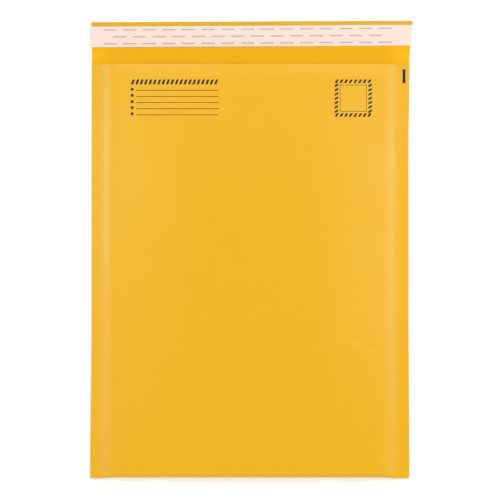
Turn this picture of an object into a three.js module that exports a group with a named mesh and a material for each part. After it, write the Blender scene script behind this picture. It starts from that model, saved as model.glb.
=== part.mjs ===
// Padded mailing envelope, empty and unsealed, lying on its back.
// One kraft sheet is folded at the foot into a front and a back panel, and its back panel runs on
// past the mouth as the flap. A web of bubble film is folded inside it and welded down both sides,
// so the padding stands up between two flat seams. The flap carries a seal strip under a release liner.
// Millimetres. X runs across the envelope, +Y points to the flap and +Z up.

import * as THREE from 'three';
import { mergeVertices } from 'three/addons/utils/BufferGeometryUtils.js';

// Sheet as cut, and the pocket that it makes
const sheetWidth = 295;
const pocketLength = 378.5;
const flapLength = 39.5;
const flapSkew = 1.3;

// Layers, from the outside in
const kraftThickness = 0.3;
const layerGap = 0.3;
const liningThickness = 3;
const pocketGap = 5.4;
const weldedFilm = 0.5;

// Side seams, and the padded shoulders that rise from them
const leftSeam = 6.4;
const rightSeam = 10.4;
const shoulderAtMouth = 20;
const shoulderAtFoot = 24;

// Crown of the front panel: its middle is flat over a share of the width, and then it falls to the welds
const crownDrop = 1.5;
const crownFlatShare = 0.34;

// Height of the weld plane over the back ply's inner face, and how it sags towards its ends and edges
// from the belly, a share of the way up the pocket
const weldAboveBackPly = 0.8;
const bellyShare = 0.5;
const weldDropAtMouth = 1.8;
const weldDropAtFoot = 0.8;
const weldSagOutward = 0.8;
const seamRipple = 0.35;
const ripplesAlongSeam = 4;

// How far the padding draws each side of the sheet in, and where the waist starts and ends
const leftDraw = { foot: 0, waist: 1.5, mouth: 1.5, flapEdge: 0.9 };
const rightDraw = { foot: 3.1, waist: 3.8, mouth: 2.9, flapEdge: 0 };
const waistShares = [0.4, 0.8];

// Foot fold and mouth. A fold exponent of 1 is a plain ellipse, and a smaller one is squarer. The
// higher the crush's exponent, the nearer to the cut edge the panel rounds over.
const foldReach = 7;
const foldExponent = 0.5;
const footDraw = 0.9;
const mouthCrush = 2.2;
const mouthRoundover = 12;
const crushExponent = 3;
const liningSetback = 1.5;
const flapSettle = 13;

// Seal strip and its liner, both on the flap
const adhesiveWidth = 13;
const adhesiveThickness = 0.2;
const linerWidth = 19;
const linerThickness = 0.2;
const linerMargin = 4;
const linerSkew = 1.7;
const linerOverhang = 1.3;

// Facets
const seamFacets = 2;
const shoulderFacets = 7;
const middleFacets = 6;
const mouthFacets = 4;
const panelFacets = 14;
const halfFoldFacets = 5;
const settleFacets = 4;
const flapFacets = 2;

// Finishes
const kraftPaper = { color: '#f2b93d', roughness: 0.55, metalness: 0 };
const bubbleFilm = { color: '#e9edf0', roughness: 0.25, metalness: 0 };
const hotMelt = { color: '#efe6c8', roughness: 0.35, metalness: 0 };
const siliconedPaper = { color: '#fbe6da', roughness: 0.4, metalness: 0 };

// Sizes that follow from the ones above
const plyStack = kraftThickness + layerGap + liningThickness;
const envelopeThickness = 2 * plyStack + pocketGap;
const weldPlane = plyStack + weldAboveBackPly;
const weldHalf = weldedFilm / 2 + layerGap + kraftThickness;
const overallLength = pocketLength + flapLength + flapSkew / 2;
const foot = -overallLength / 2;
const foldStart = foot + foldReach;
const mouth = foot + pocketLength;

// The faces of the two webs: how deep each lies in the padded middle, how far from the weld plane in
// the seams, and whether it is crushed with the cut edge at the mouth.
const kraftOuter = { depth: 0, weld: weldHalf, crushed: true };
const kraftInner = { depth: kraftThickness, weld: weldHalf - kraftThickness, crushed: true };
const liningOuter = { depth: kraftThickness + layerGap, weld: weldedFilm / 2, crushed: true };
const liningInner = { depth: plyStack, weld: 0, crushed: false };

const { clamp, lerp, smoothstep } = THREE.MathUtils;

// Draw-in of one side at the height y, eased between the foot, the waist, the mouth and the flap's edge
function drawIn(draw, y) {
  const [waistStart, waistEnd] = waistShares.map((share) => lerp(foot, mouth, share));
  const flapEdge = mouth + flapLength;
  if (y < waistEnd) return lerp(draw.foot, draw.waist, smoothstep(y, foot, waistStart));
  if (y < mouth) return lerp(draw.waist, draw.mouth, smoothstep(y, waistEnd, mouth));
  return lerp(draw.mouth, draw.flapEdge, smoothstep(y, mouth, flapEdge));
}

const leftEdge = (y) => -sheetWidth / 2 + drawIn(leftDraw, y);
const rightEdge = (y) => sheetWidth / 2 - drawIn(rightDraw, y);

// Rise of the padding beside a weld: steep at first, then a long round-off. Its slope goes with s(1 - s)^3.
const pillow = (s) => 1 - (1 - s) ** 4 * (1 + 4 * s);

// How far the front panel has fallen at x from its flat middle, between two welds
function crownFall(x, leftWeld, rightWeld) {
  const off = Math.abs(2 * x - leftWeld - rightWeld) / (rightWeld - leftWeld);
  return crownDrop * clamp((off - crownFlatShare) / (1 - crownFlatShare), 0, 1) ** 2;
}

// The columns across the sheet at the height y. lift goes from 0 in a seam to 1 in the padded middle,
// outward from 0 at a weld line to 1 at the sheet's edge, and fall is the crown's.
function columnsAt(y) {
  const shoulder = lerp(shoulderAtFoot, shoulderAtMouth, clamp((y - foot) / pocketLength, 0, 1));
  const leftWeld = leftEdge(y) + leftSeam;
  const rightWeld = rightEdge(y) - rightSeam;
  const columns = [];
  for (let i = 0; i < seamFacets; i += 1) {
    const share = i / seamFacets;
    columns.push({ x: lerp(leftEdge(y), leftWeld, share), lift: 0, outward: 1 - share });
  }
  for (let i = 0; i < shoulderFacets; i += 1) {
    const share = i / shoulderFacets;
    columns.push({ x: leftWeld + shoulder * share, lift: pillow(share), outward: 0 });
  }
  for (let i = 0; i <= middleFacets; i += 1) {
    const x = lerp(leftWeld + shoulder, rightWeld - shoulder, i / middleFacets);
    columns.push({ x, lift: 1, outward: 0 });
  }
  for (let i = shoulderFacets - 1; i >= 0; i -= 1) {
    const share = i / shoulderFacets;
    columns.push({ x: rightWeld - shoulder * share, lift: pillow(share), outward: 0 });
  }
  for (let i = 1; i <= seamFacets; i += 1) {
    const share = i / seamFacets;
    columns.push({ x: lerp(rightWeld, rightEdge(y), share), lift: 0, outward: share });
  }
  return columns.map((column) => ({ ...column, fall: crownFall(column.x, leftWeld, rightWeld) }));
}

// Height of the weld plane: highest at the belly, lower at the foot and the mouth, and rippled along
// its free edge
function weldPlaneAt(column, y) {
  const along = clamp((y - foldStart) / (mouth - foldStart), 0, 1);
  const drop = along < bellyShare
    ? lerp(weldDropAtFoot, 0, smoothstep(along, 0, bellyShare))
    : lerp(0, weldDropAtMouth, smoothstep(along, bellyShare, 1));
  const ripple = seamRipple * Math.sin(2 * Math.PI * ripplesAlongSeam * along) * Math.sin(Math.PI * along);
  return weldPlane - drop + column.outward * (ripple - weldSagOutward);
}

// Height of the front or back leaf of a face
function leafHeight(face, column, y, side) {
  const plane = weldPlaneAt(column, y);
  if (side === 'back') return lerp(plane - face.weld, face.depth, column.lift);
  const nearMouth = clamp((y - mouth) / mouthRoundover + 1, 0, 1);
  const crush = face.crushed ? mouthCrush * nearMouth ** crushExponent : 0;
  const top = envelopeThickness - face.depth - crush - column.fall;
  return lerp(plane + face.weld, top, column.lift);
}

// Point of a face round the foot fold. turn goes from a quarter turn at the front leaf to minus a
// quarter turn at the back leaf.
function foldPoint(face, column, turn) {
  const inset = lerp(weldHalf - face.weld, face.depth, column.lift);
  const reach = foldReach - footDraw * column.lift - inset;
  const plane = weldPlaneAt(column, foldStart);
  const side = turn > 0 ? 'front' : 'back';
  const swing = leafHeight(face, column, foldStart, side) - plane;
  return new THREE.Vector3(
    column.x,
    foldStart - reach * Math.cos(turn) ** foldExponent,
    plane + swing * Math.abs(Math.sin(turn)) ** foldExponent,
  );
}

// The heights y along a panel, from the given mouth end down to the foot fold, closer together at the
// mouth where the edge rounds over
function panelStations(mouthEnd) {
  const roundEnd = mouth - mouthRoundover;
  const stations = [];
  for (let i = 0; i < mouthFacets; i += 1) stations.push(lerp(mouthEnd, roundEnd, i / mouthFacets));
  for (let i = 0; i <= panelFacets; i += 1) stations.push(lerp(roundEnd, foldStart, i / panelFacets));
  return stations;
}

// A face as rows of points, down the front leaf, round the foot fold and up the back leaf
function pocketRows(face, mouthEnd, firstColumn = 0) {
  const stations = panelStations(mouthEnd);
  const trimmed = (y) => {
    const columns = columnsAt(y);
    return columns.slice(firstColumn, columns.length - firstColumn);
  };
  const leafRow = (y, side) => trimmed(y).map(
    (column) => new THREE.Vector3(column.x, y, leafHeight(face, column, y, side)),
  );
  const rows = stations.map((y) => leafRow(y, 'front'));
  for (let i = halfFoldFacets - 1; i > -halfFoldFacets; i -= 1) {
    const turn = (Math.PI / 2) * (i / halfFoldFacets);
    rows.push(trimmed(foldStart).map((column) => foldPoint(face, column, turn)));
  }
  return rows.concat(stations.reverse().map((y) => leafRow(y, 'back')));
}

// Y of the flap's cut edge, which runs slightly askew
const flapEdgeAt = (x) => mouth + flapLength + flapSkew * (x / sheetWidth);

// A face of the kraft sheet on the flap: it comes down from the seams' height and then lies flat
function flapRows(face) {
  const lay = (y, settled) => columnsAt(y).map((column) => {
    const atMouth = leafHeight(kraftOuter, column, mouth, 'back');
    return new THREE.Vector3(column.x, y, lerp(atMouth, 0, settled) + face.depth);
  });
  const rows = [];
  for (let i = 1; i <= settleFacets; i += 1) {
    const share = i / settleFacets;
    rows.push(lay(mouth + flapSettle * share, smoothstep(share, 0, 1)));
  }
  for (let i = 1; i <= flapFacets; i += 1) {
    const share = i / flapFacets;
    const row = lay(lerp(mouth + flapSettle, mouth + flapLength, share), 1);
    row.forEach((point) => {
      point.y += (flapEdgeAt(point.x) - mouth - flapLength) * share;
    });
    rows.push(row);
  }
  return rows;
}

// Collects the triangles of one closed skin
class Skin {
  constructor() {
    this.points = [];
  }

  triangle(a, b, c) {
    const flat = a.distanceTo(b) === 0 || b.distanceTo(c) === 0 || c.distanceTo(a) === 0;
    if (!flat) this.points.push(a, b, c);
  }

  // Quads between two lines of points, facing the side from which the first line's next point, the
  // second line's next point and the second line's point turn anticlockwise
  strip(first, second) {
    for (let i = 0; i + 1 < first.length; i += 1) {
      this.triangle(first[i], first[i + 1], second[i + 1]);
      this.triangle(first[i], second[i + 1], second[i]);
    }
  }

  rows(rows) {
    for (let i = 0; i + 1 < rows.length; i += 1) this.strip(rows[i + 1], rows[i]);
  }

  rowsFromBehind(rows) {
    for (let i = 0; i + 1 < rows.length; i += 1) this.strip(rows[i], rows[i + 1]);
  }

  fan(points) {
    for (let i = 1; i + 1 < points.length; i += 1) this.triangle(points[0], points[i], points[i + 1]);
  }

  geometry() {
    const geometry = mergeVertices(new THREE.BufferGeometry().setFromPoints(this.points));
    geometry.computeVertexNormals();
    return geometry;
  }
}

const columnOf = (rows, index) => rows.map((row) => row.at(index));

// The kraft sheet: an outer and an inner face, closed round the sheet's four cut edges
function kraftCoverGeometry() {
  const outer = pocketRows(kraftOuter, mouth).concat(flapRows(kraftOuter));
  const inner = pocketRows(kraftInner, mouth).concat(flapRows(kraftInner));
  const skin = new Skin();
  skin.rows(outer);
  skin.rowsFromBehind(inner);
  skin.strip(columnOf(inner, 0), columnOf(outer, 0));
  skin.strip(columnOf(outer, -1), columnOf(inner, -1));
  skin.strip(outer.at(0), inner.at(0));
  skin.strip(inner.at(-1), outer.at(-1));
  return skin.geometry();
}

// The bubble lining: an outer face as wide as the sheet, a pocket inside it between the weld lines,
// the film's cut edge down each seam, and the plies' cut edges round the mouth
function bubbleLiningGeometry() {
  const mouthEnd = mouth - liningSetback;
  const outer = pocketRows(liningOuter, mouthEnd);
  const pocket = pocketRows(liningInner, mouthEnd, seamFacets);
  const skin = new Skin();
  skin.rows(outer);
  skin.rowsFromBehind(pocket);

  const halfway = (outer.length + 1) / 2;
  const [left, right] = [columnOf(outer, 0), columnOf(outer, -1)];
  skin.strip([...left].reverse().slice(0, halfway), left.slice(0, halfway));
  skin.strip(right.slice(0, halfway), [...right].reverse().slice(0, halfway));

  const [front, back] = [outer.at(0), outer.at(-1)];
  const [pocketFront, pocketBack] = [pocket.at(0), pocket.at(-1)];
  const lastSeam = seamFacets - 1;
  skin.strip(front.slice(0, seamFacets), back.slice(0, seamFacets));
  skin.fan([front[lastSeam], front[seamFacets], pocketFront[0], back[seamFacets], back[lastSeam]]);
  skin.strip(front.slice(seamFacets, -seamFacets), pocketFront);
  skin.strip(pocketBack, back.slice(seamFacets, -seamFacets));
  skin.fan([
    front.at(-seamFacets),
    back.at(-seamFacets),
    back.at(-seamFacets - 1),
    pocketBack.at(-1),
    front.at(-seamFacets - 1),
  ]);
  skin.strip(front.slice(-seamFacets), back.slice(-seamFacets));
  return skin.geometry();
}

// A flat band across the flap, between two distances from the flap's cut edge. Its ends follow the
// sheet's sides.
function bandGeometry({ margin, width, thickness, overhang }) {
  const topAt = (x) => mouth + flapLength - margin + linerSkew * (x / sheetWidth);
  const corner = (edge, side, down) => {
    const y = topAt(side * sheetWidth / 2) - down;
    return new THREE.Vector2(edge(y) + side * overhang[side], y);
  };
  const outline = new THREE.Shape([
    corner(leftEdge, -1, width),
    corner(rightEdge, 1, width),
    corner(rightEdge, 1, 0),
    corner(leftEdge, -1, 0),
  ]);
  return new THREE.ExtrudeGeometry(outline, { depth: thickness, bevelEnabled: false });
}

function adhesiveStripGeometry() {
  return bandGeometry({
    margin: linerMargin + (linerWidth - adhesiveWidth) / 2,
    width: adhesiveWidth,
    thickness: adhesiveThickness,
    overhang: { [-1]: 0, 1: 0 },
  });
}

function releaseLinerGeometry() {
  return bandGeometry({
    margin: linerMargin,
    width: linerWidth,
    thickness: linerThickness,
    overhang: { [-1]: linerOverhang, 1: 0 },
  });
}

function piece(name, geometry, finish, height = 0) {
  const mesh = new THREE.Mesh(geometry, new THREE.MeshStandardMaterial(finish));
  mesh.name = name;
  mesh.position.z = height;
  return mesh;
}

const envelope = new THREE.Group();
const flapStack = new THREE.Group();
flapStack.position.z = kraftThickness;
flapStack.add(
  piece('adhesive_strip', adhesiveStripGeometry(), hotMelt),
  piece('release_liner', releaseLinerGeometry(), siliconedPaper, adhesiveThickness),
);
envelope.add(
  piece('kraft_cover', kraftCoverGeometry(), kraftPaper),
  piece('bubble_lining', bubbleLiningGeometry(), bubbleFilm),
  flapStack,
);

export default envelope;
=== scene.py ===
"""Looks of a padded mailing envelope: golden kraft over a bubble film lining, mouth open, flap flat.

Everything is in metres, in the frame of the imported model: X runs across the envelope, +Y points to
the flap and +Z up, with the envelope lying on its back on z = 0.
"""

import logging
import math
from collections.abc import Callable
from dataclasses import dataclass, field, replace
from enum import Enum

import bpy
import numpy as np
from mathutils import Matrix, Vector


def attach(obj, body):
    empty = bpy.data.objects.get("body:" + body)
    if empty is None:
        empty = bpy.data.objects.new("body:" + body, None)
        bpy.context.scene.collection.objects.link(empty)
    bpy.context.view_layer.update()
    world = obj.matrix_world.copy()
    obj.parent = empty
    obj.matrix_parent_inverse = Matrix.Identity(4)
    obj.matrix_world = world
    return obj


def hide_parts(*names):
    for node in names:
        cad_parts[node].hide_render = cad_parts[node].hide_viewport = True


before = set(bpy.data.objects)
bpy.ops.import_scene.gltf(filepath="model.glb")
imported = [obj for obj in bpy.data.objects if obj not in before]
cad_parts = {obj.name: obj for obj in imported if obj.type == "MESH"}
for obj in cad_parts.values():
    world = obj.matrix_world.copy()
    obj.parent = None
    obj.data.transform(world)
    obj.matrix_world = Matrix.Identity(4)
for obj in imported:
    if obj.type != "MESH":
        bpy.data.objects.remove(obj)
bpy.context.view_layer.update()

MM = 0.001
QUARTER_TURN = math.pi / 2
CRISP_ANGLE = math.radians(40.0)
WHITE = (1.0, 1.0, 1.0, 1.0)
PAINTED_LIGHT_LAYER = "painted_light"
LOG = logging.getLogger("padded_envelope")
Array = np.ndarray
Piece = bpy.types.Object
Tree = bpy.types.NodeTree
Socket = bpy.types.NodeSocket
Color = tuple[float, float, float]


def pillow(share: Array) -> Array:
    """Rises from 0 to 1 as padding does beside a weld: steeply at first, then in a long round-off."""
    s = np.clip(np.asarray(share, float), 0.0, 1.0)
    return 1 - (1 - s) ** 4 * (1 + 4 * s)


def lerp(a: Array, b: Array, t: Array) -> Array:
    """Returns the mix of a and b at the share t."""
    return a + (b - a) * t


@dataclass(frozen=True)
class Fade:
    """A smooth ease from 0 at one place to an amount at another.

    Args:
        start: Where it is 0.
        end: Where it reaches the amount.
        amount: What it reaches.
    """

    start: float
    end: float
    amount: float = 1.0

    def __call__(self, x: Array) -> Array:
        """Returns the eased value at x."""
        t = np.clip((np.asarray(x, float) - self.start) / (self.end - self.start), 0.0, 1.0)
        return self.amount * (t * t * (3.0 - 2.0 * t))


@dataclass(frozen=True)
class Wander:
    """A smooth random line, made of a few sines with seeded lengths and phases.

    Args:
        pitch: Typical length of one wave.
        seed: Seed of the lengths and phases.
        height: About how far the line swings to either side.
        waves: How many sines it has.
        shortest: The shortest sine, as a share of the pitch.
        longest: The longest sine, as a share of the pitch.
    """

    pitch: float
    seed: int
    height: float = 1.0
    waves: int = 4
    shortest: float = 0.6
    longest: float = 1.7

    def __call__(self, x: Array) -> Array:
        """Finds the line's values.

        Args:
            x: Places along the line.

        Returns:
            The value at each place.
        """
        rng = np.random.default_rng(self.seed)
        total = np.zeros_like(np.asarray(x, float))
        for _ in range(self.waves):
            pitch = self.pitch * rng.uniform(self.shortest, self.longest)
            total = total + np.sin(2 * math.pi * (x / pitch + rng.uniform()))
        return self.height * total / math.sqrt(2.0 * self.waves)

    def raised(self, x: Array) -> Array:
        """Returns the line's value at x, moved up so that it swings up from about 0."""
        return self.height + self(x)


@dataclass(frozen=True)
class Layer:
    """One face of a web: where it lies in the padded middle and in the welded seams.

    Args:
        depth: Distance in from the envelope's outer face in the padded middle.
        weld: Distance from the weld plane in a seam.
    """

    depth: float
    weld: float


@dataclass(frozen=True)
class Side:
    """One long side of the envelope.

    Args:
        seam: Width of its welded seam.
        foot: How far the padding draws its edge in at the foot.
        waist: The same along the middle of the pocket.
        mouth: The same at the mouth.
        flap_edge: The same at the flap's cut edge.
        scallop: Share by which the padded shoulder's width varies.
        pucker: Small ripples of the front beside the seam.
    """

    seam: float
    foot: float
    waist: float
    mouth: float
    flap_edge: float
    scallop: Wander
    pucker: Wander


@dataclass(frozen=True)
class Crease:
    """A straight soft fold mark pressed into the front panel.

    Args:
        x: Middle of the mark across the envelope.
        y: Middle of the mark along the envelope.
        angle: Direction of the mark in degrees, anticlockwise from +X.
        length: Half the length over which it fades out.
        width: Half the width over which it fades out.
        height: Height of the ridge, or depth of the groove if negative.
    """

    x: float
    y: float
    angle: float
    length: float
    width: float
    height: float

    def relief(self, x: Array, y: Array) -> Array:
        """Finds the mark's height.

        Args:
            x: Places across the envelope.
            y: Places along the envelope.

        Returns:
            The height at each place.
        """
        c, s = math.cos(math.radians(self.angle)), math.sin(math.radians(self.angle))
        along = ((x - self.x) * c + (y - self.y) * s) / self.length
        across = ((y - self.y) * c - (x - self.x) * s) / self.width
        return self.height * np.exp(-(along**2) - across**2)


@dataclass(frozen=True)
class Spots:
    """Places on a panel, in arrays that broadcast together.

    Args:
        x: Where they are across the envelope.
        y: Where they are along the envelope.
        lift: How far the padding lifts them, from 0 in a seam to 1 in the middle.
        outward: How far out on a seam they lie, from 0 at the weld line to 1 at the edge.
    """

    x: Array
    y: Array
    lift: Array
    outward: Array


@dataclass
class EnvelopeForm:
    """The envelope's shape as formulas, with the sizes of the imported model."""

    sheet_width: float = 295.0 * MM
    pocket_length: float = 378.5 * MM
    flap_length: float = 39.5 * MM
    flap_skew: float = 1.3 * MM
    kraft: float = 0.3 * MM
    layer_gap: float = 0.3 * MM
    lining: float = 3.0 * MM
    pocket_gap: float = 5.4 * MM
    welded_film: float = 0.5 * MM
    left: Side = Side(
        seam=6.4 * MM,
        foot=0.0,
        waist=1.5 * MM,
        mouth=1.5 * MM,
        flap_edge=0.9 * MM,
        scallop=Wander(46 * MM, 11, 0.035),
        pucker=Wander(15 * MM, 33, 0.16 * MM),
    )
    right: Side = Side(
        seam=10.4 * MM,
        foot=3.1 * MM,
        waist=3.8 * MM,
        mouth=2.9 * MM,
        flap_edge=0.0,
        scallop=Wander(46 * MM, 12, 0.035),
        pucker=Wander(17 * MM, 34, 0.16 * MM),
    )
    waist_start: float = 0.4
    waist_end: float = 0.8
    shoulder_at_mouth: float = 20.0 * MM
    shoulder_at_foot: float = 24.0 * MM
    weld_above_back_ply: float = 0.8 * MM
    weld_drop_to_mouth: Fade = Fade(0.5, 1.0, 1.8 * MM)
    weld_drop_to_foot: Fade = Fade(0.5, 0.0, 0.8 * MM)
    weld_sag_outward: float = 0.8 * MM
    seam_ripple: float = 0.35 * MM
    ripples_along_seam: int = 4
    seam_flutter: Wander = Wander(24 * MM, 21, 0.0875 * MM)
    fold_reach: float = 7.0 * MM
    foot_draw: float = 0.9 * MM
    fold_squareness: float = 0.5
    mouth_crush: float = 2.2 * MM
    mouth_roundover: float = 12.0 * MM
    mouth_power: float = 3.0
    flap_settle: Fade = Fade(0.0, 13.0 * MM)
    flap_lift: Fade = Fade(12 * MM, 38 * MM, 0.35 * MM)
    flap_wave: Wander = Wander(130 * MM, 41, 0.5)
    crown: float = 1.5 * MM
    crown_flat: float = 0.34
    swell: Wander = Wander(90 * MM, 31, 0.12 * MM)
    swell_slant: float = 0.6
    long_swell: Wander = Wander(120 * MM, 32, 0.10 * MM)
    long_swell_slant: float = 0.3
    pucker_reach: float = 9 * MM
    relief_fade: Fade = Fade(0.15, 1.0)
    creases: tuple[Crease, ...] = (
        Crease(112 * MM, -96 * MM, -28, 23 * MM, 1.7 * MM, 0.50 * MM),
        Crease(96 * MM, -82 * MM, -32, 26 * MM, 4.5 * MM, -0.40 * MM),
        Crease(-128 * MM, 82 * MM, 15, 7 * MM, 3.0 * MM, -0.25 * MM),
        Crease(-128 * MM, -2 * MM, -12, 8 * MM, 3.5 * MM, -0.30 * MM),
        Crease(0 * MM, -201 * MM, 0, 180 * MM, 1.6 * MM, -0.10 * MM),
    )

    def __post_init__(self) -> None:
        """Works out the sizes that follow from the fields."""
        ply = self.kraft + self.layer_gap + self.lining
        self.thickness = 2 * ply + self.pocket_gap
        self.weld_plane = ply + self.weld_above_back_ply
        self.weld_half = self.welded_film / 2 + self.layer_gap + self.kraft
        self.foot = -(self.pocket_length + self.flap_length + self.flap_skew / 2) / 2
        self.fold_start = self.foot + self.fold_reach
        self.mouth = self.foot + self.pocket_length
        self.flap_edge = self.mouth + self.flap_length
        self.kraft_outer = Layer(0.0, self.weld_half)
        self.kraft_inner = Layer(self.kraft, self.weld_half - self.kraft)
        self.film_outer = Layer(self.kraft + self.layer_gap, self.welded_film / 2)

    def draw_in(self, side: Side, y: Array) -> Array:
        """Finds how far a side's edge is drawn in, eased between foot, waist, mouth and flap.

        Args:
            side: The side.
            y: Places along the envelope.

        Returns:
            The draw-in at each place.
        """
        waist_start = lerp(self.foot, self.mouth, self.waist_start)
        waist_end = lerp(self.foot, self.mouth, self.waist_end)
        low = lerp(side.foot, side.waist, Fade(self.foot, waist_start)(y))
        high = lerp(side.waist, side.mouth, Fade(waist_end, self.mouth)(y))
        flap = lerp(side.mouth, side.flap_edge, Fade(self.mouth, self.flap_edge)(y))
        return np.where(y < waist_end, low, np.where(y < self.mouth, high, flap))

    def left_edge(self, y: Array) -> Array:
        """Returns x of the sheet's left edge at y."""
        return -self.sheet_width / 2 + self.draw_in(self.left, y)

    def right_edge(self, y: Array) -> Array:
        """Returns x of the sheet's right edge at y."""
        return self.sheet_width / 2 - self.draw_in(self.right, y)

    def insets(self, x: Array, y: Array) -> tuple[Array, Array]:
        """Finds how far places are in from the two weld lines.

        Args:
            x: Places across the envelope.
            y: Places along the envelope.

        Returns:
            The distance from the left weld line and from the right one, negative on a seam.
        """
        from_left = x - self.left_edge(y) - self.left.seam
        from_right = self.right_edge(y) - self.right.seam - x
        return from_left, from_right

    def shoulder(self, side: Side, y: Array) -> Array:
        """Finds the width of a side's padded shoulder.

        Args:
            side: The side.
            y: Places along the envelope.

        Returns:
            The width at each place.
        """
        along = np.clip((y - self.foot) / self.pocket_length, 0.0, 1.0)
        plain = lerp(self.shoulder_at_foot, self.shoulder_at_mouth, along)
        return plain * (1 + side.scallop(y))

    def stops(self, y: Array) -> list[Array]:
        """Finds where the zones of the sheet begin and end.

        Args:
            y: Places along the envelope.

        Returns:
            X of the six limits of the five zones, from left to right.
        """
        left, right = self.left_edge(y), self.right_edge(y)
        left_weld, right_weld = left + self.left.seam, right - self.right.seam
        left_top = left_weld + self.shoulder(self.left, y)
        right_top = right_weld - self.shoulder(self.right, y)
        return [left, left_weld, left_top, right_top, right_weld, right]

    def plane(self, spots: Spots) -> Array:
        """Finds the height of the weld plane.

        Args:
            spots: The places.

        Returns:
            The height at each place.
        """
        along = np.clip((spots.y - self.fold_start) / (self.mouth - self.fold_start), 0.0, 1.0)
        drop = self.weld_drop_to_foot(along) + self.weld_drop_to_mouth(along)
        wave = np.sin(2 * math.pi * self.ripples_along_seam * along) * np.sin(math.pi * along)
        tilt = self.seam_ripple * wave + self.seam_flutter(spots.y) - self.weld_sag_outward
        return self.weld_plane - drop + spots.outward * tilt

    def relief(self, spots: Spots) -> Array:
        """Finds the soft unevenness of the front: its crown, swells, puckers and creases.

        Args:
            spots: The places.

        Returns:
            Height to add to the front ply at each place.
        """
        x, y = spots.x, spots.y
        from_left, from_right = self.insets(x, y)
        inset = np.minimum(from_left, from_right)
        off_middle = 1 - 2 * inset / (from_left + from_right)
        past_flat = np.clip((off_middle - self.crown_flat) / (1 - self.crown_flat), 0.0, 1.0)
        height = -self.crown * past_flat**2
        height = height + self.swell(x + self.swell_slant * y)
        height = height + self.long_swell(y - self.long_swell_slant * x)
        near_seam = np.exp(-np.maximum(inset - self.shoulder_at_mouth / 2, 0.0) / self.pucker_reach)
        height = height + near_seam * np.where(x < 0, self.left.pucker(y), self.right.pucker(y))
        for crease in self.creases:
            height = height + crease.relief(x, y)
        return height * self.relief_fade(spots.lift)

    def front(self, layer: Layer, spots: Spots) -> Array:
        """Finds the height of a layer's face on the front ply.

        Args:
            layer: The face.
            spots: The places.

        Returns:
            The height at each place.
        """
        share = np.clip((spots.y - self.mouth) / self.mouth_roundover + 1.0, 0.0, 1.0)
        crush = self.mouth_crush * share**self.mouth_power
        top = self.thickness - layer.depth - crush + self.relief(spots)
        return lerp(self.plane(spots) + layer.weld, top, spots.lift)

    def back(self, layer: Layer, spots: Spots) -> Array:
        """Returns the height of a layer's face on the back ply."""
        return lerp(self.plane(spots) - layer.weld, layer.depth, spots.lift)

    def spots_at(self, x: Array, y: Array) -> Spots:
        """Finds how places on the panels lie on the padding and on the seams.

        Args:
            x: Places across the envelope.
            y: Places along the envelope.

        Returns:
            The places with their lift and how far out on a seam they lie.
        """
        from_left, from_right = self.insets(x, y)
        up_left = pillow(from_left / self.shoulder(self.left, y))
        up_right = pillow(from_right / self.shoulder(self.right, y))
        out_left = np.clip(-from_left / self.left.seam, 0, 1)
        out_right = np.clip(-from_right / self.right.seam, 0, 1)
        return Spots(x, y, np.minimum(up_left, up_right), np.maximum(out_left, out_right))

    def top_at(self, x: Array, y: Array) -> Array:
        """Returns the height of the kraft's outer face on the front panel at x and y."""
        return self.front(self.kraft_outer, self.spots_at(x, y))

    def flap_rise(self, x: Array, past: Array) -> Array:
        """Returns the slight lift of the open flap off the table, at x and a distance past the mouth."""
        return self.flap_wave.raised(x) * self.flap_lift(past)


class Zone(Enum):
    """The strips of the sheet from left to right."""

    LEFT_SEAM = 0
    LEFT_SHOULDER = 1
    MIDDLE = 2
    RIGHT_SHOULDER = 3
    RIGHT_SEAM = 4


@dataclass(frozen=True)
class Columns:
    """Columns of a web from left to right.

    Args:
        zone: The number of each column's zone.
        share: Each column's share of its zone, from left to right.
    """

    zone: Array
    share: Array

    def within(self, zone: Zone, value: Array | float) -> Array:
        """Returns the value in the columns of a zone, and 0 in the others."""
        return np.where(self.zone == zone.value, value, 0.0)

    def x(self, stops: list[Array]) -> Array:
        """Returns x of the columns between the limits of their zones."""
        parts = [lerp(low, high, self.share) for low, high in zip(stops, stops[1:])]
        return sum(self.within(zone, part) for zone, part in zip(Zone, parts))

    def lift(self) -> Array:
        """Finds how far the padding lifts each column.

        Returns:
            The lift, from 0 in a seam to 1 in the middle.
        """
        rising = self.within(Zone.LEFT_SHOULDER, pillow(self.share))
        falling = self.within(Zone.RIGHT_SHOULDER, pillow(1 - self.share))
        return rising + self.within(Zone.MIDDLE, 1.0) + falling

    def outward(self) -> Array:
        """Returns how far out on a seam each column lies, from 0 at the weld line to 1 at the edge."""
        return self.within(Zone.LEFT_SEAM, 1 - self.share) + self.within(Zone.RIGHT_SEAM, self.share)


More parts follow.
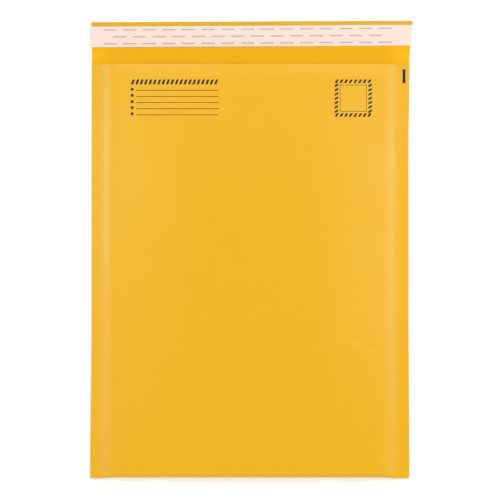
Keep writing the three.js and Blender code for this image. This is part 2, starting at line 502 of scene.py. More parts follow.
@dataclass(frozen=True)
class Web:
    """A web of the folded sheet, as a grid of rows along it and columns across it.

    Args:
        form: The envelope's shape.
        end: Y of the web's cut edge at the mouth.
        pitch: About the distance between rows on the panels.
        seam: Facets across each seam.
        shoulder: Facets across each shoulder.
        middle: Facets across the padded middle.
        with_flap: Whether the web runs on over the flap.
        mouth_reach: Distance from the cut edge over which the rows lie closer.
        mouth_rows: Rows over that distance.
        fold_rows: Rows round the foot fold.
        flap_rows: Rows along the flap.
    """

    form: EnvelopeForm
    end: float
    pitch: float
    seam: int
    shoulder: int
    middle: int
    with_flap: bool = False
    mouth_reach: float = 24 * MM
    mouth_rows: int = 25
    fold_rows: int = 27
    flap_rows: int = 40

    def rows(self) -> tuple[Array, ...]:
        """Lays out the rows, from the front's mouth edge round the foot to the back and the flap.

        Returns:
            Place along the envelope; turn round the fold, from a quarter turn on the front to minus
            a quarter on the back; distance past the mouth. Each is one column with a value a row.
        """
        near = np.linspace(self.end, self.end - self.mouth_reach, self.mouth_rows)
        plain = int((near[-1] - self.form.fold_start) / self.pitch)
        panel = np.concatenate([near, np.linspace(near[-1], self.form.fold_start, plain)[1:]])
        turns = np.linspace(QUARTER_TURN, -QUARTER_TURN, self.fold_rows)[1:-1]
        flap = np.linspace(0, self.form.flap_length, self.flap_rows)[1:] if self.with_flap else panel[:0]
        y = [panel, np.full(turns.size, self.form.fold_start), panel[::-1], self.form.mouth + flap]
        quarter = np.full(panel.size, QUARTER_TURN)
        turn = [quarter, turns, -quarter, np.full(flap.size, -QUARTER_TURN)]
        past = [np.zeros(2 * panel.size + turns.size), flap]
        return tuple(np.concatenate(parts)[:, None] for parts in (y, turn, past))

    def columns(self) -> Columns:
        """Lays out the columns.

        Returns:
            The columns, the last of them on the sheet's right edge.
        """
        counts = [self.seam, self.shoulder, self.middle, self.shoulder, self.seam]
        zones = [np.full(count, zone.value) for count, zone in zip(counts, Zone)]
        shares = [np.arange(count) / count for count in counts]
        zone = np.append(np.concatenate(zones), Zone.RIGHT_SEAM.value)
        return Columns(zone, np.append(np.concatenate(shares), 1.0))

    def points(self, layer: Layer) -> Array:
        """Places the grid's points on one face of the web.

        Args:
            layer: The face.

        Returns:
            An array of rows by columns by 3.
        """
        form, columns = self.form, self.columns()
        y, turn, past = self.rows()
        x = columns.x(form.stops(y))
        spots = Spots(x, y, columns.lift(), columns.outward())
        plane = form.plane(spots)
        front = form.front(layer, spots)
        back = form.back(layer, replace(spots, y=np.minimum(y, form.mouth)))
        swing = np.where(turn > 0, front - plane, plane - back)
        z = plane + swing * np.sign(turn) * np.abs(np.sin(turn)) ** form.fold_squareness
        inset = lerp(form.weld_half - layer.weld, layer.depth, spots.lift)
        reach = form.fold_reach - form.foot_draw * spots.lift - inset
        out = reach * np.abs(np.cos(turn)) ** form.fold_squareness
        skew = form.flap_skew * (x / form.sheet_width) * (past / form.flap_length)
        on_flap = lerp(back, layer.depth, form.flap_settle(past)) + form.flap_rise(x, past)
        return np.stack([x, y - out + skew, np.where(past > 0, on_flap, z)], axis=-1)


class MeshBuilder:
    """Collects points and faces of one piece, and makes its object."""

    def __init__(self) -> None:
        """Starts an empty mesh."""
        self.points: list[Array] = []
        self.faces: list[Array] = []
        self.finishes: list[Array] = []
        self.count = 0

    def add(self, points: Array, faces: Array) -> None:
        """Adds a block of points, and faces that number them from 0.

        Args:
            points: The points.
            faces: The faces.
        """
        self.points.append(points.reshape(-1, 3))
        self.add_faces(faces + self.count, 0)
        self.count += len(self.points[-1])

    def add_faces(self, faces: Array, finish: int) -> None:
        """Adds faces that number the whole mesh's points, with their material slot."""
        self.faces.append(faces)
        self.finishes.append(np.full(len(faces), finish))

    def add_closed_sheet(self, outer: Array, inner: Array, back_finish: int = 0) -> None:
        """Adds a thin closed sheet between two grids of points.

        Args:
            outer: Grid of rows by columns by 3 that faces out.
            inner: Grid of the same size, on the sheet's other side.
            back_finish: The material slot of the inner side and the cut edges.
        """
        rows, cols = outer.shape[:2]
        under = rows * cols
        index = np.arange(under).reshape(rows, cols)
        quads = [index[:-1, :-1], index[1:, :-1], index[1:, 1:], index[:-1, 1:]]
        out = np.stack(quads, axis=-1).reshape(-1, 4)
        rims = []
        for line in (index[::-1, 0], index[:, -1], index[0, :], index[-1, ::-1]):
            rims.append(np.stack([line[:-1], line[1:], line[1:] + under, line[:-1] + under], -1))
        start = self.count
        self.add(np.concatenate([outer.reshape(-1, 3), inner.reshape(-1, 3)]), out)
        self.add_faces(np.concatenate([out[:, ::-1] + under, *rims]) + start, back_finish)

    def build(self, name: str) -> Piece:
        """Makes the object.

        Args:
            name: The object's name.

        Returns:
            The object, shaded smooth but for its cut edges, and linked to the scene.
        """
        mesh = bpy.data.meshes.new(name)
        faces = [tuple(face) for block in self.faces for face in block.tolist()]
        mesh.from_pydata(np.concatenate(self.points).tolist(), [], faces)
        mesh.polygons.foreach_set("material_index", np.concatenate(self.finishes).astype(np.int32))
        mesh.shade_smooth()
        mesh.update()
        mesh.set_sharp_from_angle(angle=CRISP_ANGLE)
        piece = bpy.data.objects.new(name, mesh)
        bpy.context.scene.collection.objects.link(piece)
        return piece


@dataclass(frozen=True)
class Noise:
    """A noise texture.

    Args:
        scale: How many waves it has in a metre.
        detail: Its octaves.
        roughness: Strength of its finer octaves.
    """

    scale: float
    detail: float
    roughness: float


class Nodes:
    """Adds nodes and links to a node tree."""

    def __init__(self, tree: Tree) -> None:
        """Keeps the tree."""
        self.tree = tree

    def add(self, kind: str, **settings: object) -> bpy.types.Node:
        """Adds a node.

        Args:
            kind: The node's type.
            settings: Its properties.

        Returns:
            The node.
        """
        made = self.tree.nodes.new(kind)
        for key, value in settings.items():
            setattr(made, key, value)
        return made

    def feed(self, target: Socket, value: object) -> None:
        """Links a socket to the target, or writes a constant on it.

        Args:
            target: The socket that is fed.
            value: A socket, a number, a vector or a colour.
        """
        if isinstance(value, Socket):
            self.tree.links.new(value, target)
        else:
            target.default_value = value

    def math(self, operation: str, *values: object) -> Socket:
        """Adds a Math node.

        Args:
            operation: The node's operation.
            values: Its inputs, each a number or a socket.

        Returns:
            Its output socket.
        """
        made = self.add("ShaderNodeMath", operation=operation)
        for slot, value in zip(made.inputs, values):
            self.feed(slot, value)
        return made.outputs[0]

    def noise(self, noise: Noise, vector: Socket) -> Socket:
        """Adds a noise texture.

        Args:
            noise: The noise.
            vector: Where it is read.

        Returns:
            The noise value's socket.
        """
        made = self.add("ShaderNodeTexNoise")
        self.feed(made.inputs["Vector"], vector)
        self.feed(made.inputs["Scale"], noise.scale)
        self.feed(made.inputs["Detail"], noise.detail)
        self.feed(made.inputs["Roughness"], noise.roughness)
        return made.outputs["Fac"]

    def any_ray(self) -> Socket:
        """Adds nodes that tell rays apart.

        Returns:
            A socket with 1 for camera, glossy and transmission rays, and 0 for others.
        """
        rays = self.add("ShaderNodeLightPath").outputs
        seen = self.math("MAXIMUM", rays["Is Camera Ray"], rays["Is Glossy Ray"])
        return self.math("MAXIMUM", seen, rays["Is Transmission Ray"])


class SocketKind(Enum):
    """Kinds of node group sockets."""

    COLOR = "NodeSocketColor"
    VALUE = "NodeSocketFloat"


class GroupMaker(Nodes):
    """Builds a shader node group with named inputs and outputs."""

    def __init__(self, name: str) -> None:
        """Starts an empty group.

        Args:
            name: The group's name.
        """
        super().__init__(bpy.data.node_groups.new(name, "ShaderNodeTree"))
        self.inlet = self.add("NodeGroupInput")
        self.outlet = self.add("NodeGroupOutput")

    def inputs(self, kind: SocketKind, *names: str) -> list[Socket]:
        """Makes inputs of the group.

        Args:
            kind: Their kind.
            names: Their names.

        Returns:
            The sockets that give their values inside the group.
        """
        for name in names:
            self.tree.interface.new_socket(name=name, in_out="INPUT", socket_type=kind.value)
        return [self.inlet.outputs[name] for name in names]

    def output(self, kind: SocketKind, name: str, value: Socket) -> None:
        """Makes an output of the group, fed with a value."""
        self.tree.interface.new_socket(name=name, in_out="OUTPUT", socket_type=kind.value)
        self.feed(self.outlet.inputs[name], value)


@dataclass(frozen=True)
class PaperGrain:
    """The grain that the finishes share: cloudy formation, long fibres and a patchy painted sheen or
    shade.

    Args:
        cloud: The formation's noise.
        fibre: The fibres' noise.
        stretch: Scale of the fibres' noise along the envelope, below 1 to draw the fibres long.
        fine: The noise of the finest relief.
        fine_share: Its height as a share of the fibres'.
        patches: The noise that makes the painted sheen and shade patchy.
        patch_floor: Share of the painted light where that noise is 0.
        patch_gain: How much painted light the noise adds.
        gloss_swing: How much the fibres change the roughness.
        middle: The noises' middle value.
    """

    cloud: Noise = Noise(55.0, 3.0, 0.6)
    fibre: Noise = Noise(1900.0, 3.0, 0.65)
    stretch: float = 0.22
    fine: Noise = Noise(3200.0, 2.0, 0.5)
    fine_share: float = 0.5
    patches: Noise = Noise(9.0, 2.0, 0.5)
    patch_floor: float = 0.35
    patch_gain: float = 1.3
    gloss_swing: float = 0.18
    middle: float = 0.5

    def build(self) -> Tree:
        """Makes the node group.

        Returns:
            The group, with outputs Color, Rough and Height.
        """
        group = GroupMaker("paper_grain")
        color, painted_color = group.inputs(SocketKind.COLOR, "Color", "Painted Color")
        names = ("Cloud", "Fibre", "Roughness", "Painted Light")
        cloud_gain, fibre_gain, roughness, painted_light = group.inputs(SocketKind.VALUE, *names)
        place = group.add("ShaderNodeTexCoord").outputs["Object"]
        squeezed = group.add("ShaderNodeMapping")
        group.feed(squeezed.inputs["Vector"], place)
        group.feed(squeezed.inputs["Scale"], (1.0, self.stretch, 1.0))
        fibre = group.noise(self.fibre, squeezed.outputs["Vector"])
        cloud_off = group.math("SUBTRACT", group.noise(self.cloud, place), self.middle)
        fibre_off = group.math("SUBTRACT", fibre, self.middle)
        cloud_part = group.math("MULTIPLY", cloud_off, cloud_gain)
        tone = group.math("ADD", cloud_part, group.math("MULTIPLY", fibre_off, fibre_gain))
        toned = group.add("ShaderNodeVectorMath", operation="SCALE")
        group.feed(toned.inputs[0], color)
        group.feed(toned.inputs["Scale"], group.math("ADD", 1.0, tone))
        # Mixes a patchy painted sheen or painted shade into the colour, as far as the mesh's layer asks.
        patches = group.math("MULTIPLY", group.noise(self.patches, place), self.patch_gain)
        patchy = group.math("ADD", patches, self.patch_floor)
        mixed = group.add("ShaderNodeMix", data_type="RGBA")
        group.feed(mixed.inputs["Factor"], group.math("MULTIPLY", painted_light, patchy))
        group.feed(mixed.inputs["A"], toned.outputs["Vector"])
        group.feed(mixed.inputs["B"], painted_color)
        group.output(SocketKind.COLOR, "Color", mixed.outputs["Result"])
        swing = group.math("MULTIPLY", fibre_off, self.gloss_swing)
        group.output(SocketKind.VALUE, "Rough", group.math("ADD", roughness, swing))
        fine = group.math("MULTIPLY", group.noise(self.fine, place), self.fine_share)
        group.output(SocketKind.VALUE, "Height", group.math("ADD", fibre, fine))
        return group.tree


def plain_material(name: str) -> tuple[bpy.types.Material, Nodes, bpy.types.Node]:
    """Makes a material of nodes.

    Args:
        name: The material's name.

    Returns:
        The material, its nodes and its Principled shader.
    """
    made = bpy.data.materials.new(name)
    made.use_nodes = True
    return made, Nodes(made.node_tree), made.node_tree.nodes["Principled BSDF"]


@dataclass(frozen=True)
class Finish:
    """A paper, film or ink.

    Args:
        name: The material's name.
        color: Linear colour.
        roughness: Mean roughness.
        cloud: Strength of the cloudy formation.
        fibre: Strength of the fibres.
        bump: Height of the fibres' relief, in metres.
        specular: Specular level of the shader.
        clear: Share of light that passes through.
        painted_color: Linear colour mixed in where the mesh's layer asks for it, as a painted sheen or a
            painted shade, if the finish has one.
    """

    name: str
    color: Color
    roughness: float
    cloud: float
    fibre: float
    bump: float = 0.0
    specular: float = 0.5
    clear: float = 0.0
    painted_color: Color | None = None

    def dress(self, piece: Piece, grain: Tree) -> None:
        """Gives a piece this finish in its next material slot.

        Args:
            piece: The piece.
            grain: The shared grain group.
        """
        made, nodes, shader = plain_material(self.name)
        group = nodes.add("ShaderNodeGroup", node_tree=grain)
        nodes.feed(group.inputs["Color"], (*self.color, 1.0))
        nodes.feed(group.inputs["Cloud"], self.cloud)
        nodes.feed(group.inputs["Fibre"], self.fibre)
        nodes.feed(group.inputs["Roughness"], self.roughness)
        # The mesh's layer says where the painted sheen or painted shade goes.
        if self.painted_color:
            painted_light = nodes.add("ShaderNodeAttribute", attribute_name=PAINTED_LIGHT_LAYER)
            nodes.feed(group.inputs["Painted Color"], (*self.painted_color, 1.0))
            nodes.feed(group.inputs["Painted Light"], painted_light.outputs["Fac"])
        if self.bump:
            bump = nodes.add("ShaderNodeBump")
            nodes.feed(bump.inputs["Strength"], 1.0)
            nodes.feed(bump.inputs["Distance"], self.bump)
            nodes.feed(bump.inputs["Height"], group.outputs["Height"])
            nodes.feed(shader.inputs["Normal"], bump.outputs["Normal"])
        nodes.feed(shader.inputs["Base Color"], group.outputs["Color"])
        nodes.feed(shader.inputs["Roughness"], group.outputs["Rough"])
        nodes.feed(shader.inputs["Specular IOR Level"], self.specular)
        nodes.feed(shader.inputs["Transmission Weight"], self.clear)
        piece.data.materials.append(made)


FINE_BUMP = 0.00001
# The outer face's paler second colour is a painted sheen, mixed in along the shoulders' ridges and
# towards the upper sides.
KRAFT_FACE = Finish(
    name="golden_kraft",
    color=(0.894, 0.464, 0.0035),
    roughness=0.45,
    cloud=0.03,
    fibre=0.04,
    bump=2 * FINE_BUMP,
    specular=0.36,
    painted_color=(1.0, 0.8, 0.27),
)
# The inner face is more saturated and less glossy than the outer one, as an uncoated side is; its colour
# is also lightened to paint out the foot softbox's shadow on the flap, and its darker second colour is
# painted shade along the flap's cut edge.
KRAFT_BACK = Finish(
    name="golden_kraft_back",
    color=(0.965, 0.502, 0.005),
    roughness=0.6,
    cloud=0.03,
    fibre=0.05,
    bump=3 * FINE_BUMP,
    specular=0.15,
    painted_color=(0.8, 0.45, 0.03),
)
RELEASE = Finish("release_paper", (0.965, 0.775, 0.672), 0.38, 0.03, 0.02, FINE_BUMP)
BLACK_INK = Finish("black_ink", (0.016, 0.014, 0.018), 0.55, 0.2, 0.3, FINE_BUMP, specular=0.2)
PINK_INK = Finish("pink_ink", (0.70, 0.43, 0.38), 0.45, 0.05, 0.1, FINE_BUMP)
HOT_MELT = Finish("hot_melt", (0.86, 0.79, 0.58), 0.3, 0.1, 0.0)
BUBBLE_FILM = Finish("bubble_film", (0.93, 0.95, 0.96), 0.22, 0.1, 0.0, clear=0.12)


@dataclass
class KraftCover:
    """The one kraft sheet: front panel, foot fold, back panel and flap."""

    form: EnvelopeForm
    row_pitch: float = 2.2 * MM
    seam_facets: int = 6
    shoulder_facets: int = 18
    middle_facets: int = 66
    # The fields from here to the ridge width shape a painted sheen: a paler gold mixed into the outer
    # face towards the upper sides and along the shoulders' ridges.
    painted_sheen_right: Fade = Fade(45 * MM, 125 * MM, 0.094)
    painted_sheen_right_along: Fade = Fade(-230 * MM, 20 * MM)
    less_at_mouth: Fade = Fade(70 * MM, 130 * MM, 0.35)
    less_at_seam: Fade = Fade(119 * MM, 132 * MM, 0.7)
    painted_sheen_left: Fade = Fade(30 * MM, 120 * MM, 0.064)
    painted_sheen_left_along: Fade = Fade(-320 * MM, 60 * MM)
    painted_sheen_ridge_along: Fade = Fade(-290 * MM, 110 * MM, 0.235)
    left_ridge: float = 6.6 * MM
    right_ridge: float = 5.2 * MM
    ridge_width: float = 3.7 * MM
    # Band of painted shade on the inner face, along the flap's cut edge.
    painted_shade_edge: Fade = Fade(5.6 * MM, 4.0 * MM)

    def build(self) -> Piece:
        """Makes the sheet, closed round its cut edges.

        Returns:
            The piece, with its painted sheen and painted shade in a layer for the finishes.
        """
        facets = (self.seam_facets, self.shoulder_facets, self.middle_facets)
        web = Web(self.form, self.form.mouth, self.row_pitch, *facets, with_flap=True)
        outer, inner = web.points(self.form.kraft_outer), web.points(self.form.kraft_inner)
        builder = MeshBuilder()
        builder.add_closed_sheet(outer, inner, back_finish=1)
        piece = builder.build("kraft_sheet")
        # The layer holds the outer face's painted sheen and the inner face's painted shade along the
        # flap's cut edge.
        layer = piece.data.attributes.new(PAINTED_LIGHT_LAYER, "FLOAT", "POINT")
        painted_values = [self.painted_light(outer).ravel(), self.tan(inner).ravel()]
        layer.data.foreach_set("value", np.concatenate(painted_values).astype(np.float32))
        return piece

    def tan(self, points: Array) -> Array:
        """Returns how much painted shade darkens each point of the inner face: only along the flap's cut
        edge.
        """
        edge = self.form.flap_edge + self.form.flap_skew * points[..., 0] / self.form.sheet_width
        return self.painted_shade_edge(edge - points[..., 1])

    def painted_light(self, points: Array) -> Array:
        """Finds how much painted sheen lightens each point of the outer face: most along the shoulders'
        ridges.

        Args:
            points: The face's points.

        Returns:
            A share from 0 to 1 for each point.
        """
        x, y = points[..., 0], points[..., 1]
        right = self.painted_sheen_right(x) * self.painted_sheen_right_along(y)
        right = right * (1 - self.less_at_mouth(y)) * (1 - self.less_at_seam(x))
        left = self.painted_sheen_left(-x) * self.painted_sheen_left_along(y)
        from_left, from_right = self.form.insets(x, y)
        off_ridge = np.minimum(abs(from_left - self.left_ridge), abs(from_right - self.right_ridge))
        ridge = np.exp(-((off_ridge / self.ridge_width) ** 2))
        return right + left + ridge * self.painted_sheen_ridge_along(y)

    def dress(self, piece: Piece, grain: Tree) -> None:
        """Gives the sheet its two faces of paper and its place in the frame.

        Args:
            piece: The sheet.
            grain: The shared grain group.
        """
        KRAFT_FACE.dress(piece, grain)
        KRAFT_BACK.dress(piece, grain)
        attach(piece, "root")
        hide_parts("kraft_cover")


@dataclass
class BubbleLining:
    """The folded bubble film web inside the kraft, with its bubbles facing the pocket."""

    form: EnvelopeForm
    film: float = 0.2 * MM
    setback: float = 1.5 * MM
    row_pitch: float = 6 * MM
    seam_facets: int = 3
    shoulder_facets: int = 8
    middle_facets: int = 30
    bubble_radius: float = 4.9 * MM
    bubble_pitch: float = 11.4 * MM
    bubble_height: float = 2.5 * MM
    first_row: float = 0.4
    half_columns: int = 14
    room_share: float = 0.42
    least_height: float = 0.8 * MM
    sides: int = 12
    profile: tuple[tuple[float, float], ...] = ((1.0, 0.0), (0.95, 0.55), (0.72, 0.88))

    def build(self) -> Piece:
        """Makes the web and its bubbles.

        Returns:
            The piece.
        """
        end = self.form.mouth - self.setback
        skin = self.form.film_outer
        inside = Layer(skin.depth + self.film, skin.weld - self.film)
        facets = (self.seam_facets, self.shoulder_facets, self.middle_facets)
        web = Web(self.form, end, self.row_pitch, *facets)
        builder = MeshBuilder()
        builder.add_closed_sheet(web.points(skin), web.points(inside))
        for front in (True, False):
            self.add_bubbles(builder, inside, front, end)
        return builder.build("bubble_film_web")

    def centres(self, end: float) -> Array:
        """Lays out the bubbles' centres on a ply, on a triangular grid.

        Args:
            end: Y of the ply's cut edge.

        Returns:
            X and y of each bubble.
        """
        places = []
        y, odd = end - self.first_row * self.bubble_pitch, False
        while y > self.form.fold_start + self.bubble_radius:
            number = np.arange(-self.half_columns, self.half_columns) + (0.5 if odd else 0.0)
            places.append(np.stack([number * self.bubble_pitch, np.full(number.size, y)], -1))
            y, odd = y - self.bubble_pitch * math.sqrt(3) / 2, not odd
        return np.concatenate(places)

    def add_bubbles(self, builder: MeshBuilder, layer: Layer, front: bool, end: float) -> None:
        """Adds the bubbles of one ply, each standing on the film and turned to the pocket.

        Args:
            builder: Collects the mesh.
            layer: The film's inner face.
            front: Whether the ply is the front one.
            end: Y of the ply's cut edge.
        """
        form = self.form
        face, side = (form.front, -1.0) if front else (form.back, 1.0)
        x, y = self.centres(end).T
        spots = form.spots_at(x, y)
        room = self.room_share * (form.front(layer, spots) - form.back(layer, spots))
        height = np.minimum(self.bubble_height, room)
        kept = np.minimum(*form.insets(x, y)) > self.bubble_radius
        kept &= (height > self.least_height) & (y < end - self.bubble_radius)
        x, y, height = x[kept][:, None], y[kept][:, None], height[kept][:, None]
        turn = np.linspace(0, 2 * math.pi, self.sides, endpoint=False)[None, :]
        rings = []
        for share, rise in self.profile:
            ring_x = x + share * self.bubble_radius * np.cos(turn)
            ring_y = y + share * self.bubble_radius * np.sin(turn)
            ring_z = face(layer, form.spots_at(ring_x, ring_y)) + side * rise * height
            rings.append(np.stack([ring_x, ring_y, ring_z], -1))
        base = face(layer, form.spots_at(x, y))
        tip = np.stack([x, y, base + side * height], -1)
        foot = np.stack([x, y, base], -1)
        faces = self.bubble_faces(len(x), flip=not front)
        builder.add(np.concatenate([*rings, tip, foot], axis=1), faces)

    def bubble_faces(self, count: int, flip: bool) -> Array:
        """Numbers the triangles of a number of bubbles.

        Args:
            count: How many bubbles.
            flip: Whether to turn the faces over.

        Returns:
            An array of triangles.
        """
        n, rings = self.sides, len(self.profile)
        ring = np.arange(n)
        after = (ring + 1) % n
        faces = []
        for low in range(0, (rings - 1) * n, n):
            high = low + n
            faces.append(np.stack([low + ring, high + ring, high + after], -1))
            faces.append(np.stack([low + ring, high + after, low + after], -1))
        last, tip, foot = (rings - 1) * n, rings * n, rings * n + 1
        faces.append(np.stack([last + ring, np.full(n, tip), last + after], -1))
        faces.append(np.stack([ring, after, np.full(n, foot)], -1))
        one = np.concatenate(faces)
        if flip:
            one = one[:, ::-1]
        first = (foot + 1) * np.arange(count)
        return (one[None] + first[:, None, None]).reshape(-1, 3)

    def dress(self, piece: Piece, grain: Tree) -> None:
        """Gives the web its film and its place in the frame.

        Args:
            piece: The web.
            grain: The shared grain group.
        """
        BUBBLE_FILM.dress(piece, grain)
        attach(piece, "root")
        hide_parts("bubble_lining")


@dataclass(frozen=True)
class Mark:
    """A rectangle, with its lower left and upper right corners."""

    x0: float
    y0: float
    x1: float
    y1: float


@dataclass
class InkLayer:
    """Printed marks laid on a surface as a skin of ink."""

    name: str
    surface: Callable[[Array, Array], Array]
    clearance: float = 0.015 * MM
    film: float = 0.02 * MM
    step: float = 4.0 * MM
    stroke_share: float = 0.5
    lean_share: float = 0.42
    builder: MeshBuilder = field(default_factory=MeshBuilder)

    def places(self, low: float, high: float) -> Array:
        """Returns places from low to high that are close enough to follow the surface."""
        return np.linspace(low, high, max(2, math.ceil((high - low) / self.step) + 1))

    def add_mark(self, mark: Mark) -> None:
        """Adds one rectangle, divided so that it follows the surface."""
        down = self.places(mark.y0, mark.y1)[::-1]
        self.add_grid(*np.meshgrid(self.places(mark.x0, mark.x1), down))

    def add_grid(self, x: Array, y: Array) -> None:
        """Adds a patch of ink over a grid of places.

        Args:
            x: Places across the envelope.
            y: Places along the envelope.
        """
        base = self.surface(x, y) + self.clearance
        over = np.stack([x, y, base + self.film], -1)
        self.builder.add_closed_sheet(over, np.stack([x, y, base], -1))

    def add_slanted_row(self, band: Mark, pitch: float, upright: bool = False) -> None:
        """Adds a row of slanted strokes that fills a band from end to end.

        Args:
            band: The band.
            pitch: About how far apart the strokes lie.
            upright: Whether the row runs up the panel instead of across it.
        """
        low, high = (band.y0, band.y1) if upright else (band.x0, band.x1)
        count = round((high - low) / pitch)
        exact = (high - low) / count
        for number in range(count):
            near = low + exact * (number + np.array([0.0, self.stroke_share]))
            far = near + exact * self.lean_share
            if upright:
                x = np.array([[band.x0, band.x1], [band.x0, band.x1]])
                self.add_grid(x, np.array([[near[1], far[1]], [near[0], far[0]]]))
            else:
                y = np.array([[band.y1, band.y1], [band.y0, band.y0]])
                self.add_grid(np.array([far, near]), y)

    def add_frame(self, box: Mark, line: float) -> None:
        """Adds a rectangular frame.

        Args:
            box: The frame's outer rectangle.
            line: Width of its line.
        """
        self.add_mark(replace(box, y1=box.y0 + line))
        self.add_mark(replace(box, y0=box.y1 - line))
        side = replace(box, y0=box.y0 + line, y1=box.y1 - line)
        self.add_mark(replace(side, x1=box.x0 + line))
        self.add_mark(replace(side, x0=box.x1 - line))

    def build(self) -> Piece:
        """Makes the ink's object."""
        return self.builder.build(self.name)


@dataclass
class FrontPrint:
    """The black print on the front panel: ruled lines for an address, a stamp box and a sensor mark."""

    form: EnvelopeForm
    top: float = 155.0 * MM
    rules_left: float = -110.0 * MM
    rules_width: float = 80.0 * MM
    heading_height: float = 4.5 * MM
    rule_count: int = 5
    rule_pitch: float = 5.6 * MM
    rule_height: float = 0.5 * MM
    square_side: float = 2.4 * MM
    square_gap: float = 2.6 * MM
    stamp_right: float = 110.0 * MM
    stamp_side: float = 34.0 * MM
    border: float = 3.2 * MM
    border_gap: float = 1.6 * MM
    inner_line: float = 0.4 * MM
    stroke_pitch: float = 4.0 * MM
    sensor_mark: Mark = Mark(138.3 * MM, 151.9 * MM, 140.9 * MM, 164.7 * MM)

    def build(self) -> Piece:
        """Makes all of the front's print as one piece.

        Returns:
            The piece.
        """
        ink = InkLayer("front_print", self.form.top_at)
        self.address_lines(ink)
        self.stamp_box(ink)
        ink.add_mark(self.sensor_mark)
        return ink.build()

    def address_lines(self, ink: InkLayer) -> None:
        """Adds a heading of slanted strokes over ruled lines, each with a small square before it.

        Args:
            ink: Collects the print.
        """
        right = self.rules_left + self.rules_width
        heading = Mark(self.rules_left, self.top - self.heading_height, right, self.top)
        ink.add_slanted_row(heading, self.stroke_pitch)
        for number in range(self.rule_count):
            base = heading.y0 - (number + 1) * self.rule_pitch
            square_right = self.rules_left + self.square_side
            ink.add_mark(Mark(self.rules_left, base, square_right, base + self.square_side))
            ink.add_mark(Mark(square_right + self.square_gap, base, right, base + self.rule_height))

    def stamp_box(self, ink: InkLayer) -> None:
        """Adds an empty square with a border of slanted strokes and a thin frame inside it.

        Args:
            ink: Collects the print.
        """
        left, low = self.stamp_right - self.stamp_side, self.top - self.stamp_side
        inner_left, inner_right = left + self.border, self.stamp_right - self.border
        inner_low, inner_top = low + self.border, self.top - self.border
        ink.add_slanted_row(Mark(left, inner_top, self.stamp_right, self.top), self.stroke_pitch)
        ink.add_slanted_row(Mark(left, low, self.stamp_right, inner_low), self.stroke_pitch)
        for x0, x1 in ((left, inner_left), (inner_right, self.stamp_right)):
            side = Mark(x0, inner_low, x1, inner_top)
            ink.add_slanted_row(side, self.stroke_pitch, upright=True)
        gap = self.border_gap
        inner_box = Mark(inner_left + gap, inner_low + gap, inner_right - gap, inner_top - gap)
        ink.add_frame(inner_box, self.inner_line)

    def dress(self, piece: Piece, grain: Tree) -> None:
        """Gives the print its ink and its place in the frame."""
        BLACK_INK.dress(piece, grain)
        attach(piece, "root")


@dataclass
class FlapBand:
    """A flat band across the flap, between two distances from its cut edge."""

    form: EnvelopeForm
    name: str
    margin: float
    width: float
    low: float
    thickness: float
    left_overhang: float = 0.0
    skew: float = 1.7 * MM
    curl: Fade = Fade(135 * MM, 149 * MM, 0.0)
    buckle: Wander = Wander(40 * MM, 51, 0.0)
    across: int = 120
    along: int = 10

    def edge_y(self, x: Array) -> Array:
        """Returns y of the band's upper edge at x."""
        return self.form.flap_edge - self.margin + self.skew * x / self.form.sheet_width

    def height(self, x: Array, y: Array) -> Array:
        """Returns the height of the band's underside at x and y."""
        rise = self.form.flap_rise(x, y - self.form.mouth)
        return self.low + rise + self.curl(-x) + self.buckle.raised(x)

    def top(self, x: Array, y: Array) -> Array:
        """Returns the height of the band's upper face at x and y."""
        return self.height(x, y) + self.thickness

    def build(self) -> Piece:
        """Makes the band as a thin closed sheet.

        Returns:
            The piece.
        """
        share = np.linspace(0, 1, self.across)[None, :]
        down = np.linspace(0, self.width, self.along)[:, None]
        middle = self.edge_y(lerp(-0.5, 0.5, share) * self.form.sheet_width) - down
        left = self.form.left_edge(middle) - self.left_overhang
        x = lerp(left, self.form.right_edge(middle), share)
        y = self.edge_y(x) - down
        builder = MeshBuilder()
        over = np.stack([x, y, self.top(x, y)], -1)
        builder.add_closed_sheet(over, np.stack([x, y, self.height(x, y)], -1))
        return builder.build(self.name)


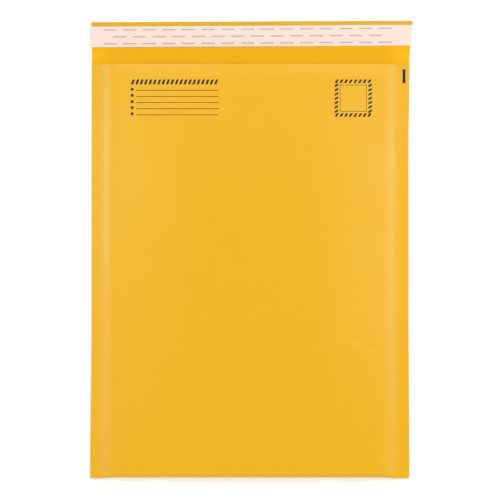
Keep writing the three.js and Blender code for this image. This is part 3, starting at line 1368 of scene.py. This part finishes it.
@dataclass
class SealStrip:
    """The hot-melt band on the flap, and the printed release liner over it."""

    form: EnvelopeForm
    adhesive_width: float = 13.0 * MM
    adhesive_thickness: float = 0.2 * MM
    liner_width: float = 19.0 * MM
    liner_thickness: float = 0.2 * MM
    liner_margin: float = 4.0 * MM
    liner_overhang: float = 1.3 * MM
    liner_curl: Fade = Fade(135 * MM, 149 * MM, 0.4 * MM)
    liner_buckle: Wander = Wander(40 * MM, 51, 0.12 * MM)
    dash_rows: int = 3
    dash_length: float = 12.0 * MM
    dash_pitch: float = 18.0 * MM
    dash_height: float = 1.2 * MM

    def build(self) -> tuple[Piece, Piece, Piece]:
        """Makes the adhesive band, the liner and the liner's print.

        Returns:
            The three pieces.
        """
        band = FlapBand(
            form=self.form,
            name="hot_melt_band",
            margin=self.liner_margin + (self.liner_width - self.adhesive_width) / 2,
            width=self.adhesive_width,
            low=self.form.kraft,
            thickness=self.adhesive_thickness,
        )
        liner = FlapBand(
            form=self.form,
            name="release_strip",
            margin=self.liner_margin,
            width=self.liner_width,
            low=self.form.kraft + self.adhesive_thickness,
            thickness=self.liner_thickness,
            left_overhang=self.liner_overhang,
            curl=self.liner_curl,
            buckle=self.liner_buckle,
        )
        return band.build(), liner.build(), self.dashes(liner)

    def dashes(self, liner: FlapBand) -> Piece:
        """Makes even rows of pale dashes on the liner, every second row moved by half a pitch.

        Args:
            liner: The liner.

        Returns:
            The piece.
        """
        ink = InkLayer("liner_print", liner.top)
        half = self.form.sheet_width / 2 - self.dash_length
        for row in range(self.dash_rows):
            down = self.liner_width * (row + 0.5) / self.dash_rows
            start = -half + (self.dash_pitch / 2 if row % 2 else 0.0)
            while start + self.dash_length < half:
                y = liner.edge_y(start + self.dash_length / 2) - down
                low, high = y - self.dash_height / 2, y + self.dash_height / 2
                ink.add_mark(Mark(start, low, start + self.dash_length, high))
                start += self.dash_pitch
        return ink.build()

    def dress(self, pieces: tuple[Piece, ...], grain: Tree) -> None:
        """Gives each piece its finish and its place in the frame.

        Args:
            pieces: The band, the liner and its print.
            grain: The shared grain group.
        """
        band, liner, _ = pieces
        for piece, finish in zip(pieces, (HOT_MELT, RELEASE, PINK_INK)):
            finish.dress(piece, grain)
            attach(piece, "root")
        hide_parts("adhesive_strip")
        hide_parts("release_liner")


@dataclass(frozen=True)
class Softbox:
    """A rectangular lamp aimed at the envelope.

    Args:
        name: The lamp's name.
        place: Where it stands.
        size: Its width and height.
        share: The part of a level surface's light that it gives, where 1 shows a colour as written.
    """

    name: str
    place: tuple[float, float, float]
    size: tuple[float, float]
    share: float

    def power(self) -> float:
        """Returns the power in watts that gives the share."""
        distance = math.hypot(*self.place)
        return self.share * math.pi**2 * distance**3 / self.place[2]

    def build(self) -> None:
        """Adds the lamp to the scene."""
        data = bpy.data.lights.new(self.name, "AREA")
        data.shape = "RECTANGLE"
        data.size, data.size_y = self.size
        data.energy = self.power()
        made = bpy.data.objects.new(self.name, data)
        made.location = self.place
        made.rotation_euler = (-Vector(self.place)).to_track_quat("-Z", "Y").to_euler()
        bpy.context.scene.collection.objects.link(made)


@dataclass
class Studio:
    """White table, soft light and the camera straight above."""

    camera_height: float = 4.0
    sensor_width: float = 36.0
    field_of_view: float = 0.457
    centre: tuple[float, float] = (-1.27 * MM, -0.6 * MM)
    plane_height: float = 6 * MM
    softboxes: tuple[Softbox, ...] = (
        Softbox("left_softbox", (-2.0, 0.2, 1.3), (1.2, 2.4), 0.18),
        Softbox("right_softbox", (2.0, 0.2, 1.3), (1.2, 2.4), 0.19),
        Softbox("head_softbox", (0.0, 5.0, 3.5), (3.2, 1.4), 0.16),
        Softbox("foot_softbox", (0.0, -1.6, 0.8), (1.8, 0.6), 0.12),
        Softbox("ceiling_softbox", (0.2, 0.6, 1.5), (0.5, 0.4), 0.18),
    )
    level: float = 1.068
    table_reach: float = 1.4
    table_glow: float = 0.32
    table_color: Color = (0.92, 0.92, 0.92)
    table_roughness: float = 0.9

    def build(self) -> None:
        """Sets up the camera, the lamps, the world and the table."""
        self.camera()
        for softbox in self.softboxes:
            softbox.build()
        self.world()
        self.table()
        bpy.context.scene.view_settings.view_transform = "Standard"

    def camera(self) -> None:
        """Looks straight down, with the flap at the top of the picture."""
        data = bpy.data.cameras.new("camera")
        data.sensor_fit = "HORIZONTAL"
        data.sensor_width = self.sensor_width
        data.lens = self.sensor_width * (self.camera_height - self.plane_height) / self.field_of_view
        made = bpy.data.objects.new("camera", data)
        made.location = (*self.centre, self.camera_height)
        bpy.context.scene.collection.objects.link(made)
        bpy.context.scene.camera = made

    def world(self) -> None:
        """Makes a plain sky that looks white and gives the light that the lamps leave."""
        world = bpy.data.worlds.new("studio")
        bpy.context.scene.world = world
        world.use_nodes = True
        nodes = Nodes(world.node_tree)
        sky = world.node_tree.nodes["Background"]
        strength = nodes.add("ShaderNodeMapRange")
        nodes.feed(strength.inputs["Value"], nodes.any_ray())
        nodes.feed(strength.inputs["To Min"], self.level - sum(box.share for box in self.softboxes))
        nodes.feed(strength.inputs["To Max"], 1.0)
        nodes.feed(sky.inputs["Color"], WHITE)
        nodes.feed(sky.inputs["Strength"], strength.outputs["Result"])

    def table(self) -> None:
        """Makes a white table top that keeps the envelope's soft shadow."""
        mesh = bpy.data.meshes.new("table")
        reach = self.table_reach
        corners = [(-reach, -reach, 0), (reach, -reach, 0), (reach, reach, 0), (-reach, reach, 0)]
        mesh.from_pydata(corners, [], [(0, 1, 2, 3)])
        made = bpy.data.objects.new("table", mesh)
        bpy.context.scene.collection.objects.link(made)
        material, nodes, shader = plain_material("white_table")
        nodes.feed(shader.inputs["Base Color"], (*self.table_color, 1.0))
        nodes.feed(shader.inputs["Roughness"], self.table_roughness)
        nodes.feed(shader.inputs["Specular IOR Level"], 0.0)
        nodes.feed(shader.inputs["Emission Color"], WHITE)
        glow = nodes.math("MULTIPLY", nodes.any_ray(), self.table_glow)
        nodes.feed(shader.inputs["Emission Strength"], glow)
        mesh.materials.append(material)


def report(piece: Piece) -> None:
    """Logs a piece's name and its number of triangles."""
    piece.data.calc_loop_triangles()
    LOG.info("%s: %d triangles", piece.name, len(piece.data.loop_triangles))


def main() -> None:
    """Builds the envelope's pieces in order, dresses them, and sets up the studio."""
    logging.basicConfig(level=logging.INFO, format="%(name)s %(message)s")
    grain = PaperGrain().build()
    form = EnvelopeForm()
    for maker in (KraftCover(form), BubbleLining(form), FrontPrint(form), SealStrip(form)):
        made = maker.build()
        maker.dress(made, grain)
        for piece in made if isinstance(made, tuple) else (made,):
            report(piece)
    Studio().build()


if __name__ == "__main__":
    main()
